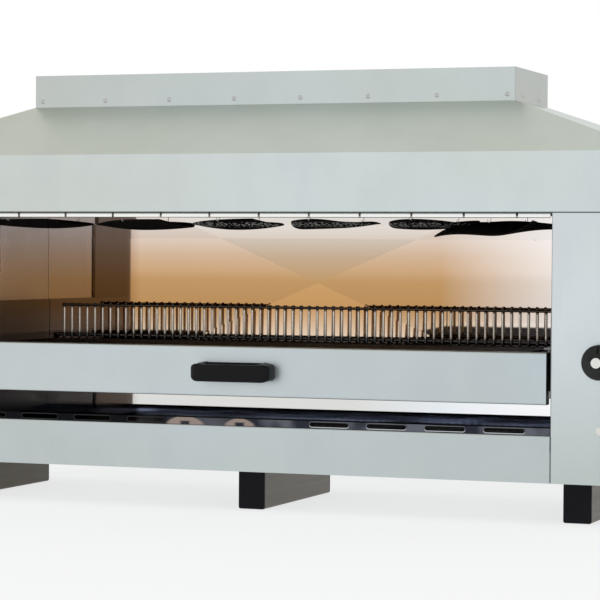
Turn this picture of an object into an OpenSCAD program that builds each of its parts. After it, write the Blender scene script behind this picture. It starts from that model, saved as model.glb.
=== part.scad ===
// Gas cheese melter: hooded casing on three runners, six downward burners,
// a wire rack with a raised fence carried by a pull-out drawer.
// The origin is on the floor, under the middle of the casing; the front faces -Y.

/* [Casing] */
// Overall width
case_w = 1200; // [1100:10:1500]
// Depth of the casing
case_d = 416; // [400:2:520]
// Thickness of the casing's sheet steel
sheet = 1.5; // [1:0.1:2]
// Outer radius of a sheet bend
bend_r = 3; // [2.5:0.5:5]
// Width of each side column
column_w = 138; // [125:1:160]
// Depth of the column's face that returns into the cavity
column_return = 156; // [60:1:170]
// Width of the open slot between that return and the side liner
liner_slot = 10; // [4:1:16]
// Height of the lower front panel
lower_panel_h = 65; // [55:1:80]
// Height of the opening between the lower panel and the hood
opening_h = 305; // [290:1:340]
// Depth from the front face to the mirror-finished rear liner
cavity_d = 338.5; // [330:0.5:350]
// Height of the cross-broken part of the rear liner
cross_break_h = 392; // [380:1:400]
// How far the cross-break stands back at its centre
cross_break = 4; // [2:0.5:6]
// Thickness of the insulation behind the rear liner
insulation_t = 30; // [15:1:38]

/* [Hood and collar] */
// Height of the upright skirt round the hood
skirt_h = 84; // [78:1:110]
// Height of the sloping part of the hood
slope_h = 77; // [60:1:110]
// Width of the duct collar
collar_w = 754; // [600:2:840]
// Depth of the duct collar
collar_d = 180; // [140:2:200]
// Height of the duct collar
collar_h = 48; // [30:1:80]
// Height of the hood's neck inside the collar
neck_h = 22; // [15:1:28]
// Number of rivets along the collar's front
rivets_long = 8; // [4:1:12]
// Distance of the last rivets from the collar's corners
rivet_end = 12; // [10:1:40]
// Height of the rivets above the collar's lower edge
rivet_z = 9; // [6:0.5:12]
// Diameter of a rivet's shank
rivet_d = 3.2; // [2.4:0.1:4.8]

/* [Front deflector] */
// Setback of the deflector strip from the front face
deflector_y = 12; // [6:1:16]
// Visible height of the deflector strip
deflector_h = 7.3; // [6:0.1:12]
// Gap at each end of the strip
deflector_end_gap = 5; // [1:0.5:8]
// Spacing of the slots
deflector_pitch = 76.1; // [50:0.1:90]
// Width of a slot
deflector_slot = 3; // [1:0.1:4]

/* [Runners] */
// Width of a runner's box tube
runner_w = 40; // [30:1:60]
// Height of a runner's box tube
runner_h = 60; // [40:1:80]
// Length of a runner over its end caps
runner_l = 284; // [240:1:400]
// Wall of the box tube
runner_wall = 2; // [1.5:0.1:3]
// Distance of an outer runner from the casing's side
runner_inset = 115; // [80:1:200]
// Thickness of an end cap's face
cap_t = 3; // [2:0.5:5]
// Depth of an end cap's plug
cap_plug = 14; // [8:1:20]
// Diameter of the runner bolts
bolt_d = 8; // [6:1:10]
// Distance between a runner's two bolts
bolt_span = 200; // [120:1:220]

/* [Drawer] */
// Height of the drawer front
drawer_h = 71.5; // [60:0.5:80]
// Gap under the drawer front
drawer_gap = 42; // [38:1:50]
// Gap at each side of the drawer front
drawer_side_gap = 6; // [5.5:0.5:7]
// Gap between the drawer frame and the rear liner
drawer_rear_gap = 24.5; // [22:0.5:48]
// Thickness of the drawer frame's steel
frame_t = 2; // [1.5:0.1:3]
// Width of the ledges that carry the rack
ledge_w = 20; // [16:1:26]
// Length of the handle
handle_l = 124; // [100:1:160]
// Height of the handle at its ends
handle_h = 28; // [22:1:34]
// Height of the handle's grip in the middle
grip_h = 25; // [16:1:27]
// How far the handle stands out
handle_out = 30; // [24:1:40]
// Thickness of the handle's grip
grip_t = 9; // [7:0.5:12]
// Length of each of the handle's feet
foot_l = 20; // [14:1:26]
// Diameter of the handle screws
handle_screw_d = 5; // [4:0.5:6]

/* [Drawer guides] */
// Height of the guide plate above the drawer's channel
guard_h = 54; // [40:1:70]
// Thickness of the guide's steel
guide_t = 2.5; // [2:0.1:3]
// Width of the guide's ledges
guide_ledge = 15; // [12:0.5:20]
// Running clearance of the drawer in its guides
guide_clear = 0.3; // [0.2:0.1:1]

/* [Rack] */
// Diameter of a rack wire
wire_d = 4; // [3:0.1:5]
// Distance of the outermost wires from the drawer's sides
rack_side_gap = 57; // [54:1:120]
// Number of wires
wire_count = 61; // [31:2:61]
// Diameter of the cross rods
rod_d = 6; // [5:0.5:8]
// Height of the fence above the deck
fence_h = 55.5; // [30:0.5:70]
// Distance from the front face to the fence
fence_y = 268; // [240:1:280]
// How far the rear rod passes the last wire
rod_over = 12; // [4:1:30]
// Depth that welded wires sink into each other
weld = 0.6; // [0.3:0.1:1]

/* [Burners] */
// Number of burners, fixed by the list of sub-parts
burner_count = 6; // [6]
// Distance of the outer burners' fields from the cavity's sides
burner_margin = 12; // [6:1:30]
// Gap between two burners
burner_gap = 10; // [8:1:30]
// Length of a burner housing
burner_l = 258; // [240:1:270]
// Height of a burner housing
burner_h = 45; // [35:1:50]
// Distance from the front face to the burners
burner_y = 41; // [38:1:46]
// How far the burners reach below the hood's skirt
burner_drop = 0; // [0:0.5:4]
// Wall of a burner housing
burner_wall = 1.2; // [1:0.1:2]
// Thickness of a ceramic tile
tile_t = 13; // [10:1:16]
// Sag of a screen in the middle
screen_sag = 17; // [6:1:18]
// Thickness of a screen
screen_t = 1.6; // [1:0.1:2.5]
// Spacing of the openings drawn in a screen
mesh_pitch = 15; // [12:1:20]
// Width of the bars between the openings
mesh_bar = 3; // [2:0.5:5]
// Outer diameter of a mixing tube
venturi_d = 26; // [20:1:28]

/* [Floor plate] */
// Height of the floor plate's front lip
lip_h = 10; // [9:0.5:14]
// Fall of the floor plate from the back to the front
floor_fall = 23; // [10:1:30]
// Distance from the front face to the lip
lip_y = 4; // [4:0.5:8]
// Length of a slot in the lip
slot_l = 58; // [30:1:66]
// Height of a slot in the lip
slot_h = 6.5; // [4:0.5:7]
// Number of slots on each side of the middle
slot_count = 4; // [1:1:4]
// Distance of the first slot from the middle
slot_first = 141; // [60:1:160]
// Distance of the last slot from the cavity's side
slot_end = 65.5; // [50:0.5:90]
// Height of the pressed rim round a slot
rim_h = 0.8; // [0.4:0.1:1.2]

/* [Gas line] */
// Side of the square manifold tube
manifold_w = 16; // [14:1:20]
// Distance from the front face to the manifold's axis
manifold_y = 28; // [26:0.5:32]
// Gap between the manifold and the mixing tubes
air_gap = 14; // [12:1:16]
// Outer diameter of the gas pipes
pipe_d = 15; // [12:1:18]
// Wall of the gas pipes
pipe_wall = 1.2; // [0.8:0.1:2]
// Bend radius of the supply pipe's axis
pipe_bend = 24; // [18:1:30]
// Bore of the rear gas socket
inlet_bore_d = 18.6; // [15:0.1:24]
// Depth of the rear gas socket
inlet_depth = 15; // [10:1:18]

/* [Control] */
// Distance of the knob from the casing's side
control_inset = 68; // [60:1:80]
// Height of the knob above the floor
knob_z = 227; // [190:1:260]
// Diameter of the knob
knob_d = 48; // [36:1:60]
// Height of the knob
knob_h = 24; // [18:1:32]
// Diameter of the knob's centre disc
knob_cap_d = 14; // [10:1:18]
// Gap between the knob and the panel
knob_gap = 5; // [4:0.5:8]
// Travel of the knob when pushed
knob_push = 3; // [2:0.5:3.5]
// Diameter of the spindle
spindle_d = 8; // [6:0.5:10]
// Diameter of the tap's plug
plug_d = 16; // [14:0.5:20]
// Radial running clearance of spindle and plug
run_clear = 0.05; // [0.02:0.01:0.1]
// Height of the panel screw above the floor
screw_z = 134; // [115:1:160]
// Diameter of the panel screw's head
screw_head_d = 12; // [9:0.5:16]

/* [Hidden] */

$fn = 48;
// Small overlap that keeps cuts clean
eps = 0.05;

// Levels, from the floor up
case_z = runner_h;
panel_top = case_z + lower_panel_h;
skirt_z = panel_top + opening_h;
slope_z = skirt_z + skirt_h;
collar_z = slope_z + slope_h;
base_top = case_z + sheet;
floor_z = panel_top - floor_fall;

// Widths of the sheets' folded edges
column_fold = 22;
top_fold = 16;

// Planes, from the front to the back
front_y = -case_d / 2;
back_y = case_d / 2;
liner_y = front_y + cavity_d;
cavity_x = case_w / 2 - column_w;
runner_x = case_w / 2 - runner_inset;
control_x = case_w / 2 - control_inset;

// Drawer, guides and rack
drawer_z = panel_top + drawer_gap;
drawer_top = drawer_z + drawer_h;
drawer_x = cavity_x - drawer_side_gap;
drawer_rear = liner_y - drawer_rear_gap;
guide_low = drawer_z + 16.5;
guide_high = drawer_top + 3.5;
front_fold = 18;
frame_front = front_y + front_fold;
guide_front = frame_front + frame_t + 1;
guide_rear = liner_y - 1;
guide_lip = 7.5;
side_low = guide_low + guide_t + guide_clear;
side_high = guide_high - guide_clear;
deck_z = drawer_top - 3.5;
ledge_top = deck_z - wire_d / 2 - rod_d + weld - guide_clear;
fence_pos = front_y + fence_y;
rack_front = frame_front + 6;
wire_bend = 6;
rod_first = frame_front + frame_t + ledge_w / 2;
rod_last = fence_pos - 16;
rod_z = deck_z - wire_d / 2 - rod_d / 2 + weld;
wire_pitch = 2 * (drawer_x - rack_side_gap) / (wire_count - 1);
rod_half = (wire_count - 1) / 2 * wire_pitch + wire_d / 2 + rod_over;

// Burners, from the skirt's lower edge
burner_pitch = 2 * (cavity_x - burner_margin) / burner_count;
burner_w = burner_pitch - burner_gap;
screen_w = burner_w - 2;
burner_z = skirt_z - burner_drop;
burner_front = front_y + burner_y;
burner_rear = burner_front + burner_l;
burner_top = burner_z + burner_h;
rail_w = 18;
rail_h = 25;
tab_t = 1.5;
venturi_z = burner_top + venturi_d / 2;
manifold_pos = front_y + manifold_y;
venturi_front = manifold_pos + manifold_w / 2 + air_gap;
lip_w = 8;

// Control
knob_back = front_y - knob_gap;
knob_front = knob_back - knob_h;
valve_w = 34;
valve_h = 44;
valve_d = 36;
valve_front = front_y + sheet;
valve_back = valve_front + valve_d;
chamber_front = valve_front + 4;
chamber_back = valve_back - 5;
valve_low = knob_z - valve_h / 2;
pipe_y = manifold_pos;
pipe_z = screw_z + 6;
shelf_t = 2;

// Left normal of a direction, and the turn from one direction to the next
function unit(v) = v / norm(v);
function left_of(v) = [-v[1], v[0]];
function turn(a, b) = a[0] * b[1] - a[1] * b[0];
function heading(path, i) = unit(path[i + 1] - path[i]);

// Points of one bend: o is the offset from the given line, k runs from 0 to 1
function bend_point(v, a, b, r, t, o, k) =
    let (na = left_of(a), nb = left_of(b), n = unit(na * (1 - k) + nb * k),
         mid = (na + nb) / (1 + na * nb))
    turn(a, b) > 0 ? v + mid * r - n * (r - o) : v - mid * (r - t) + n * (r - t + o);

// One side of a folded sheet that follows a path, with rounded bends
function fold_side(path, t, r, o, steps = 4) = [
    path[0] + left_of(heading(path, 0)) * o,
    for (i = [1 : len(path) - 2], s = [0 : steps])
        bend_point(path[i], heading(path, i - 1), heading(path, i), r, t, o, s / steps),
    path[len(path) - 1] + left_of(heading(path, len(path) - 2)) * o
];
function reversed(list) = [for (i = [len(list) - 1 : -1 : 0]) list[i]];

// Section of a folded sheet: the path is one face, the thickness lies to its left
module folded(path, t = sheet, r = bend_r) {
    polygon(concat(fold_side(path, t, r, 0), reversed(fold_side(path, t, r, t))));
}

// Box between two corners
module block(a, b) {
    translate(a) cube(b - a);
}

// Box centred on x = 0
module wide_block(w, y0, y1, z0, z1) {
    block([-w / 2, y0, z0], [w / 2, y1, z1]);
}

// Extrusion along X of a section drawn in (y, z)
module along_x(x0, x1) {
    translate([x0, 0, 0]) rotate([90, 0, 90]) linear_extrude(x1 - x0) children();
}

// Extrusion along Y of a section drawn in (x, z)
module along_y(y0, y1) {
    translate([0, y1, 0]) rotate([90, 0, 0]) linear_extrude(y1 - y0) children();
}

// Round bar along Y, and a hole along Y
module bar_y(d, y0, y1, x = 0, z = 0) {
    translate([x, y1, z]) rotate([90, 0, 0]) cylinder(d = d, h = y1 - y0);
}

// Removes the sharp corner along X at (y, z), on the sides given by sy and sz
module corner_round_x(w, y, z, sy, sz, r) {
    along_x(-w / 2, w / 2) difference() {
        translate([y - (sy > 0 ? r : eps), z - (sz > 0 ? r : eps)]) square(r + eps);
        translate([y - sy * r, z - sz * r]) circle(r = r);
    }
}

// ---- Casing ----

// Pan that closes the casing underneath; its front upstand carries the floor plate
module base_pan() {
    w = case_w / 2 - sheet;
    flange = 15;
    rest = lip_y + 8;
    color("lightgray") difference() {
        union() {
            wide_block(2 * w, front_y + sheet, back_y - sheet, case_z, base_top);
            wide_block(2 * cavity_x, front_y + sheet, front_y + 2 * sheet, case_z, floor_z);
            wide_block(2 * cavity_x, front_y + sheet, front_y + rest, floor_z - sheet, floor_z);
            wide_block(2 * cavity_x, back_y - 2 * sheet, back_y - sheet, case_z, base_top + flange);
        }
        bolt_places() cylinder(d = bolt_d + 0.6, h = 4 * sheet, center = true);
    }
}

// Places of the runner bolts, on top of the runners
module bolt_places() {
    for (x = [-runner_x, 0, runner_x], y = [-bolt_span / 2, bolt_span / 2])
        translate([x, y, case_z]) children();
}

// Folded sheet of one side column, drawn for the right side
module column_sheet() {
    inner = front_y + column_return;
    rear = back_y - sheet;
    half = case_w / 2;
    difference() {
        union() {
            translate([0, 0, case_z]) linear_extrude(skirt_z - case_z)
                folded([[cavity_x + column_fold, inner], [cavity_x, inner], [cavity_x, front_y],
                        [half, front_y], [half, rear], [half - column_fold, rear]]);
            block([cavity_x + sheet, front_y + sheet - eps, skirt_z - sheet],
                  [half - sheet + eps, front_y + top_fold, skirt_z]);
        }
        wide_block(2 * (half - sheet), front_y + sheet, rear, case_z - 1, base_top);
        corner_round_x(4 * half, front_y, skirt_z, -1, 1, 1.4);
    }
}

module left_casing() {
    color("silver") mirror([1, 0, 0]) column_sheet();
}

module right_casing() {
    color("silver") difference() {
        column_sheet();
        bar_y(spindle_d + 4, front_y - 1, front_y + 3, control_x, knob_z);
        bar_y(5.4, front_y - 1, front_y + 3, control_x, screw_z);
    }
}

module back_casing() {
    color("silver") difference() {
        wide_block(case_w, back_y - sheet, back_y, case_z, skirt_z);
        bar_y(pipe_d + 1, back_y - 5, back_y + 5, control_x, pipe_z);
    }
}

// Panel under the opening, folded back along its top
module lower_front_panel() {
    w = cavity_x - 0.3;
    color("silver") along_x(-w, w)
        folded([[front_y + lip_y - 0.5, panel_top], [front_y, panel_top], [front_y, case_z]],
               sheet, sheet + 1);
}

// ---- Hood ----

// Outer form of the hood, drawn in by an inset on every wall and slope
module canopy(inset) {
    w = case_w / 2 - inset;
    d = case_d / 2 - inset;
    tw = collar_w / 2 - sheet - inset;
    td = collar_d / 2 - sheet - inset;
    low = slope_z - inset;
    high = collar_z - inset;
    wide_block(2 * w, -d, d, skirt_z - 2 * inset, low + eps);
    intersection() {
        along_y(-d, d) polygon([[-w, low], [w, low], [tw + sheet, high], [-tw - sheet, high]]);
        along_x(-w, w) polygon([[-d, low], [d, low], [td + sheet, high], [-td - sheet, high]]);
    }
    wide_block(2 * tw, -td, td, high - eps, collar_z + neck_h + inset);
}

module hood() {
    r = 1.4;
    color("gainsboro") difference() {
        union() {
            difference() {
                canopy(0);
                canopy(sheet);
            }
            difference() {
                wide_block(case_w - sheet, front_y + sheet / 2, back_y - sheet / 2,
                           skirt_z, skirt_z + sheet);
                wide_block(case_w - 2 * top_fold, front_y + top_fold, back_y - top_fold,
                           skirt_z - 1, skirt_z + 2 * sheet);
            }
        }
        corner_round_x(2 * case_w, front_y, skirt_z, -1, -1, r);
        rivet_places() cylinder(d = rivet_d + 0.2, h = 6 * sheet, center = true);
    }
}

// Upstand that the exhaust duct slips over
module duct_collar() {
    color("lightgray") difference() {
        wide_block(collar_w, -collar_d / 2, collar_d / 2, collar_z, collar_z + collar_h);
        wide_block(collar_w - 2 * sheet, -collar_d / 2 + sheet, collar_d / 2 - sheet,
                   collar_z - 1, collar_z + collar_h + 1);
        rivet_places() cylinder(d = rivet_d + 0.2, h = 6 * sheet, center = true);
    }
}

// Places of the collar rivets, each with +Z pointing out of the collar
module rivet_places() {
    span = (rivets_long - 1) / 2;
    pitch = (collar_w / 2 - rivet_end) / span;
    z = collar_z + rivet_z;
    for (i = [-span : span], s = [-1, 1])
        translate([i * pitch, s * collar_d / 2, z]) rotate([-90 * s, 0, 0]) children();
    for (y = [-collar_d / 4, collar_d / 4], s = [-1, 1])
        translate([s * collar_w / 2, y, z]) rotate([0, 90 * s, 0]) children();
}

// Domed blind rivets through the collar and the neck
module collar_rivets() {
    head = 1.2 * rivet_d;
    grip = 2 * sheet;
    color("darkgray") rivet_places() {
        translate([0, 0, -grip - 0.5]) cylinder(d = rivet_d, h = grip + 1);
        intersection() {
            translate([0, 0, 1.4 - head * 1.3]) sphere(r = head * 1.3);
            cylinder(r = head, h = 2);
        }
        translate([0, 0, -grip - 1.5]) cylinder(d = rivet_d * 1.5, h = 1.5);
    }
}

// ---- Inside of the casing ----

// Side liner of the cavity, drawn for the right side
module liner_sheet() {
    front = front_y + column_return + liner_slot;
    translate([0, 0, base_top]) linear_extrude(skirt_z - base_top)
        folded([[cavity_x, back_y - sheet], [cavity_x, front], [cavity_x + column_fold, front]]);
}

module left_liner() {
    color("rosybrown") mirror([1, 0, 0]) liner_sheet();
}

module right_liner() {
    color("rosybrown") liner_sheet();
}

// Rear liner: its upper part is cross-broken, so its middle stands back
module back_liner() {
    w = cavity_x - 0.3;
    low = panel_top + 5;
    high = low + cross_break_h;
    ledge = 15;
    ledge_z = panel_top - ledge * floor_fall / cavity_d - 0.1;
    corners = [[-w, low], [w, low], [w, high], [-w, high]];
    front = [for (c = corners) [c[0], liner_y, c[1]]];
    apex = [0, liner_y + cross_break, (low + high) / 2];
    back = [for (p = concat(front, [apex])) p + [0, sheet, 0]];
    color("burlywood") {
        polyhedron(concat(front, [apex], back), [
            for (i = [0 : 3]) [(i + 1) % 4, i, 4],
            for (i = [0 : 3]) [i + 5, (i + 1) % 4 + 5, 9],
            for (i = [0 : 3]) [i, (i + 1) % 4, (i + 1) % 4 + 5, i + 5]
        ]);
        wide_block(2 * w, liner_y, liner_y + sheet, base_top, low);
        wide_block(2 * w, liner_y - ledge, liner_y + eps, ledge_z - sheet, ledge_z);
    }
}

module rear_insulation() {
    y = liner_y + cross_break + sheet;
    color("ivory") wide_block(2 * (cavity_x - 0.3), y, y + insulation_t, base_top, skirt_z - 2);
}

// Sloping crumb plate; the slots in its raised front lip have pressed rims
module floor_plate() {
    w = cavity_x - 1;
    y = front_y + lip_y;
    top = panel_top + lip_h;
    rim = 1;
    mid_z = top - rim / 2 - rim - slot_h / 2;
    pitch = (cavity_x - slot_end - slot_first) / 3;
    color("dimgray") difference() {
        union() {
            along_x(-w, w) folded([[y, top], [y, floor_z], [liner_y - 0.5, panel_top]]);
            along_y(y - rim_h, y + sheet / 2) lip_slots(pitch, mid_z)
                round_rect(slot_l + 2 * rim, slot_h + 2 * rim, slot_h / 2 + rim - eps);
        }
        along_y(y - 2 * rim_h, y + 2 * sheet) lip_slots(pitch, mid_z)
            round_rect(slot_l, slot_h, slot_h / 2 - eps);
    }
}

// Places of the lip's slots, drawn in (x, z)
module lip_slots(pitch, z) {
    for (s = [-1, 1], i = [0 : slot_count - 1])
        translate([s * (slot_first + i * pitch), z]) children();
}

// Strip under the skirt that keeps the burners' heat off the front
module front_deflector() {
    w = cavity_x - deflector_end_gap;
    y = front_y + deflector_y;
    low = skirt_z - deflector_h;
    first = 29.3;
    color("white") difference() {
        along_x(-w, w) folded([[y + top_fold, skirt_z], [y, skirt_z], [y, low]], sheet, sheet + 0.5);
        for (i = [-floor((w + first - 8) / deflector_pitch) : floor((w - first - 8) / deflector_pitch)])
            translate([first + i * deflector_pitch, y, 0])
                wide_block(deflector_slot, -1, sheet + 0.8, low + sheet, skirt_z + 1);
    }
}

// ---- Guides of the drawer ----

// Guide drawn for the right side: a channel with a tall guard plate above it
module guide() {
    wall = cavity_x - guide_t;
    along_y(guide_front, guide_rear) {
        translate([cavity_x - guide_ledge, guide_low]) square([guide_ledge, guide_t]);
        translate([cavity_x - guide_ledge, guide_high]) square([guide_ledge, guide_t]);
    }
    block([wall, front_y + 10, guide_low - guide_lip], [cavity_x, guide_rear, guide_high + guard_h]);
    block([wall, front_y + 2, guide_low - guide_lip], [cavity_x, front_y + 10 + eps, guide_low + guide_t]);
}

module left_guide() {
    color("dimgray") mirror([1, 0, 0]) guide();
}

module right_guide() {
    color("dimgray") guide();
}

// ---- Drawer ----

module drawer_front() {
    color("silver") difference() {
        union() {
            along_x(-drawer_x, drawer_x)
                folded([[frame_front, drawer_top], [front_y, drawer_top],
                        [front_y, drawer_z], [frame_front, drawer_z]]);
            for (s = [-1, 1]) translate([s * (drawer_x - sheet / 2), 0, 0])
                wide_block(sheet, front_y + sheet - eps, frame_front,
                           drawer_z + sheet - eps, drawer_top - sheet + eps);
        }
        handle_screw_places() bar_y(handle_screw_d + 0.4, -5, 5);
    }
}

// Welded frame behind the drawer front: sides, ledges under the rack, rear tie
module drawer_frame() {
    x = drawer_x;
    rear_ledge = rod_last - ledge_w / 2;
    color("gray") {
        for (s = [-1, 1]) translate([s * (x - frame_t / 2), 0, 0])
            wide_block(frame_t, frame_front, drawer_rear, side_low, side_high);
        wide_block(2 * x - frame_t, frame_front, frame_front + frame_t, side_low, drawer_top);
        wide_block(2 * x - frame_t, drawer_rear - frame_t, drawer_rear, side_low, side_low + 20);
        wide_block(2 * x - frame_t, frame_front + frame_t - eps, frame_front + frame_t + ledge_w,
                   ledge_top - frame_t, ledge_top);
        wide_block(2 * x - frame_t, rear_ledge, rear_ledge + ledge_w, ledge_top - frame_t, ledge_top);
        wide_block(2 * x - frame_t, rear_ledge, rear_ledge + frame_t, side_low, ledge_top - frame_t / 2);
    }
}

module handle_screw_places() {
    for (s = [-1, 1])
        translate([s * (handle_l - foot_l) / 2, front_y, drawer_z + drawer_h / 2]) children();
}

// Rectangle with round corners
module round_rect(w, h, r) {
    square([w - 2 * r, h], center = true);
    square([w, h - 2 * r], center = true);
    for (x = [-1, 1], y = [-1, 1]) translate([x * (w / 2 - r), y * (h / 2 - r)]) circle(r = r);
}

// Bow handle: its plan and its front view cut out of each other
module drawer_handle() {
    mid_z = drawer_z + drawer_h / 2;
    plan_r = 13;
    front_r = 6;
    gap_l = handle_l - 2 * foot_l;
    plate_t = 3;
    color([0.1, 0.1, 0.1]) difference() {
        intersection() {
            translate([0, front_y, mid_z - handle_h]) linear_extrude(2 * handle_h) difference() {
                round_rect(handle_l, 2 * handle_out, plan_r);
                difference() {
                    round_rect(gap_l, 2 * (handle_out - grip_t), front_r);
                    translate([-handle_l, -plate_t]) square([2 * handle_l, 2 * plate_t]);
                }
                translate([-handle_l, 0]) square([2 * handle_l, 2 * handle_out]);
            }
            along_y(front_y - 2 * handle_out, front_y + 1) translate([0, mid_z]) difference() {
                round_rect(handle_l, handle_h, front_r);
                translate([0, handle_h / 2])
                    round_rect(gap_l - 8, 2 * (handle_h - grip_h), handle_h - grip_h - eps);
            }
        }
        handle_screw_places() bar_y(handle_screw_d + 0.2, -15, 1);
    }
}

// Pan-head screws driven from inside the drawer front
module handle_screws() {
    color("silver") handle_screw_places() {
        bar_y(handle_screw_d, -14, sheet + 0.5);
        bar_y(handle_screw_d * 1.9, sheet, sheet + 3);
    }
}

// ---- Rack ----

// One wire: straight along the deck, then bent up into the fence
module rack_wire(x) {
    bar_y(wire_d, rack_front, fence_pos - wire_bend, x, deck_z);
    translate([x, fence_pos - wire_bend, deck_z + wire_bend]) rotate([0, 90, 0])
        rotate_extrude(angle = 90) translate([wire_bend, 0]) circle(d = wire_d);
    translate([x, fence_pos, deck_z + wire_bend]) cylinder(d = wire_d, h = fence_h + 2 - wire_bend);
}

// Round rod along X
module rod_x(half, y, z, d) {
    translate([-half, y, z]) rotate([0, 90, 0]) cylinder(d = d, h = 2 * half);
}

// Welded wire rack with its raised rear fence
module rack_grid() {
    last = (wire_count - 1) / 2;
    color("slategray") {
        for (i = [-last : last]) rack_wire(i * wire_pitch);
        for (k = [0 : 3])
            rod_x(rod_half - rod_over, rod_first + k * (rod_last - rod_first) / 3, rod_z, rod_d);
        rod_x(rod_half, fence_pos + (wire_d + rod_d) / 2 - weld, deck_z + wire_bend + 1, rod_d);
        rod_x(rod_half - rod_over, fence_pos - wire_d + weld, deck_z + fence_h - 1.5, wire_d);
    }
}

// ---- Burners ----

// Channel that the burners hang on, from y0 back
module burner_rail(y0) {
    y1 = y0 + rail_w;
    top = skirt_z + rail_h;
    color("lightsteelblue") along_x(-cavity_x - 40, cavity_x + 40)
        folded([[y1, skirt_z], [y1, top], [y0, top], [y0, skirt_z]]);
}

module front_burner_rail() {
    burner_rail(burner_front - rail_w - 1);
}

module rear_burner_rail() {
    burner_rail(burner_rear + 1);
}

function burner_x(i) = (i - (burner_count + 1) / 2) * burner_pitch;

// Solid that the mixing tube and the box under its closed end take up
module mixing_space(d, end_y, box_w, low) {
    bar_y(d, venturi_front - (d < venturi_d ? 1 : 0), end_y, 0, venturi_z - 0.5);
    wide_block(box_w, end_y - box_w, end_y, low, venturi_z - 0.5);
}

// Sheet housing with lips under the tile, hanging tabs and a mixing tube on top
module burner(i) {
    w = burner_w;
    t = burner_wall;
    end_y = burner_rear - 40;
    box_w = venturi_d - 6;
    tab_z = skirt_z + rail_h;
    color("steelblue") translate([burner_x(i), 0, 0]) difference() {
        union() {
            wide_block(w, burner_front, burner_rear, burner_z, burner_top);
            for (s = [-1, 1]) translate([s * (w / 2 - 25), 0, 0])
                wide_block(20, burner_front - rail_w + 2, burner_rear + rail_w - 2, tab_z, tab_z + tab_t);
            mixing_space(venturi_d, end_y, box_w, burner_top - t / 2);
        }
        wide_block(w - 2 * t, burner_front + t, burner_rear - t, burner_z + t, burner_top - t);
        wide_block(w - 2 * (t + lip_w), burner_front + t + lip_w, burner_rear - t - lip_w,
                   burner_z - 1, burner_z + 2 * t);
        mixing_space(venturi_d - 2 * t, end_y - t, box_w - 2 * t, burner_top - 2 * t);
    }
}

// Ceramic tile seated on the housing's lips, grooved into four plaques
module tile(i) {
    t = burner_wall;
    w = burner_w - 2 * t - 0.6;
    y0 = burner_front + t + 0.3;
    y1 = burner_rear - t - 0.3;
    low = burner_z + t;
    color("wheat") translate([burner_x(i), 0, 0]) difference() {
        wide_block(w, y0, y1, low, low + tile_t);
        for (k = [1 : 3]) translate([0, y0 + k * (y1 - y0) / 4, 0])
            wide_block(w + 1, -0.75, 0.75, low - 1, low + 1.5);
    }
}

// Bowed wire screen hung under the housing by its two long hems
module screen(i) {
    w = screen_w;
    s = screen_sag;
    r = (w * w / 4 + s * s) / (2 * s);
    low = burner_z - screen_t - s;
    y0 = burner_front;
    y1 = burner_rear;
    nx = floor((w - 10) / mesh_pitch);
    ny = floor((y1 - y0 - 6) / mesh_pitch);
    hole = mesh_pitch - mesh_bar;
    color([0.15, 0.15, 0.15]) translate([burner_x(i), 0, 0]) {
        intersection() {
            along_y(y0, y1) difference() {
                translate([0, low + r]) circle(r = r, $fn = 360);
                translate([0, low + r]) circle(r = r - screen_t, $fn = 360);
                translate([-2 * r, burner_z]) square(4 * r);
            }
            translate([0, (y0 + y1) / 2, low - 1]) linear_extrude(s + 2 * screen_t + 2) difference() {
                square([w, y1 - y0], center = true);
                for (a = [0 : nx - 1], b = [0 : ny - 1])
                    translate([(a - (nx - 1) / 2) * mesh_pitch, (b - (ny - 1) / 2) * mesh_pitch])
                        square(hole, center = true);
            }
        }
        for (k = [-1, 1]) translate([k * (w / 2 - 2), 0, 0])
            wide_block(4, y0, y1, burner_z - screen_t, burner_z);
    }
}

// ---- Gas line ----

module gas_manifold() {
    x0 = -(burner_count - 1) / 2 * burner_pitch - 25;
    x1 = control_x + manifold_w / 2 + 4;
    h = manifold_w / 2;
    z = venturi_z;
    rail_top = skirt_z + rail_h;
    color("darkgoldenrod") difference() {
        union() {
            block([x0, manifold_pos - h, z - h], [x1, manifold_pos + h, z + h]);
            for (s = [-1, 1]) translate([s * 1.5 * burner_pitch, manifold_pos, 0])
                wide_block(24, -1.5, 1.5, rail_top, z - h + eps);
        }
        block([x0 + sheet, manifold_pos - h + sheet, z - h + sheet],
              [x1 - sheet, manifold_pos + h - sheet, z + h - sheet]);
        for (i = [1 : burner_count]) bar_y(6.2, manifold_pos, manifold_pos + h + 1, burner_x(i), z);
        translate([control_x, manifold_pos, z - h - 1]) cylinder(d = pipe_d - 2 * pipe_wall, h = h);
    }
}

// Brass nozzles that squirt the gas into the mixing tubes
module injectors() {
    seat = manifold_pos + manifold_w / 2;
    color("gold") for (i = [1 : burner_count]) translate([burner_x(i), seat, venturi_z])
        rotate([-90, 0, 0]) difference() {
            union() {
                translate([0, 0, -sheet - 2]) cylinder(d = 6, h = sheet + 3);
                cylinder(d = 11.5, h = 6, $fn = 6);
                cylinder(d = 6, h = air_gap - 3);
            }
            translate([0, 0, -sheet - 3]) cylinder(d = 1.4, h = 30);
        }
}

// Straight gas pipe along Z
module pipe_z_run(z0, z1) {
    translate([control_x, pipe_y, z0]) difference() {
        cylinder(d = pipe_d, h = z1 - z0);
        translate([0, 0, -1]) cylinder(d = pipe_d - 2 * pipe_wall, h = z1 - z0 + 2);
    }
}

module riser_pipe() {
    color("peru") pipe_z_run(valve_low + valve_h, venturi_z - manifold_w / 2);
}

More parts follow.
